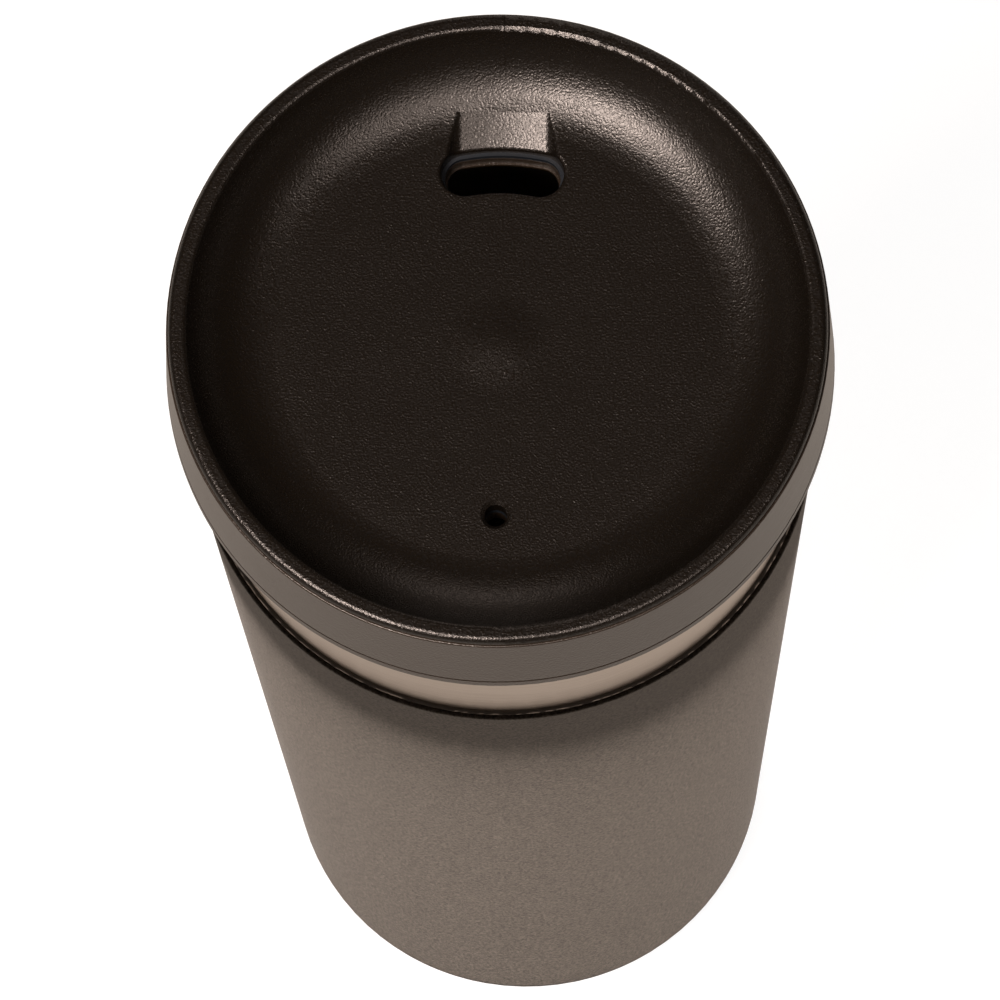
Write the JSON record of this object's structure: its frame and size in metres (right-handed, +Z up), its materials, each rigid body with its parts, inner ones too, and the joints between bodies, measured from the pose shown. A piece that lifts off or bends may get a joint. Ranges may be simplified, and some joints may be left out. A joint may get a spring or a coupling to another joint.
{
  "type": "insulated tumbler",
  "caption": "Tapered double-walled steel tumbler with a coated body, a bare neck and a press-in plastic lid with a round dish, a drink slot and a vent hole.",
  "frame": {"origin": "centre of the face the tumbler stands on", "axes": "+Z up along the tumbler's axis, +Y from the axis towards the drink slot, +X to the right of someone who faces the slot"},
  "size_m": [0.089, 0.089, 0.207],
  "materials": {
    "coated_steel": "fine-grained matt powder coat in a warm graphite, bare satin steel on the neck above the shoulder",
    "satin_steel": "satin",
    "copper_foil": null,
    "solder_glass": "fused bead",
    "getter_alloy": "sintered grey",
    "foot_rubber": "matt",
    "seal_silicone": "soft satin silicone",
    "gasket_silicone": "soft satin silicone",
    "textured_plastic": "fine moulded grain",
    "smooth_plastic": "smooth satin"
  },
  "bodies": {
    "cup": {"outer_shell": "coated_steel", "inner_cup": "satin_steel", "radiation_foil": "copper_foil", "base_plate": "satin_steel", "vacuum_seal": "solder_glass", "getter": "getter_alloy", "foot_pad": "foot_rubber"},
    "seal_ring": {"lid_seal": "seal_silicone"},
    "lid": {"lid_cover": "textured_plastic", "lid_body": "smooth_plastic", "slot_gasket": "gasket_silicone", "vent_gasket": "gasket_silicone"}
  },
  "joints": [
    {"name": "lid_lift", "type": "slide", "parent": "cup", "child": "seal_ring", "axis": [0, 0, 1], "range_m": [0, 0.06]},
    {"name": "lid_turn", "type": "hinge", "parent": "seal_ring", "child": "lid", "pos_m": [0, 0, 0.19], "axis": [0, 0, 1], "continuous": true}
  ]
}
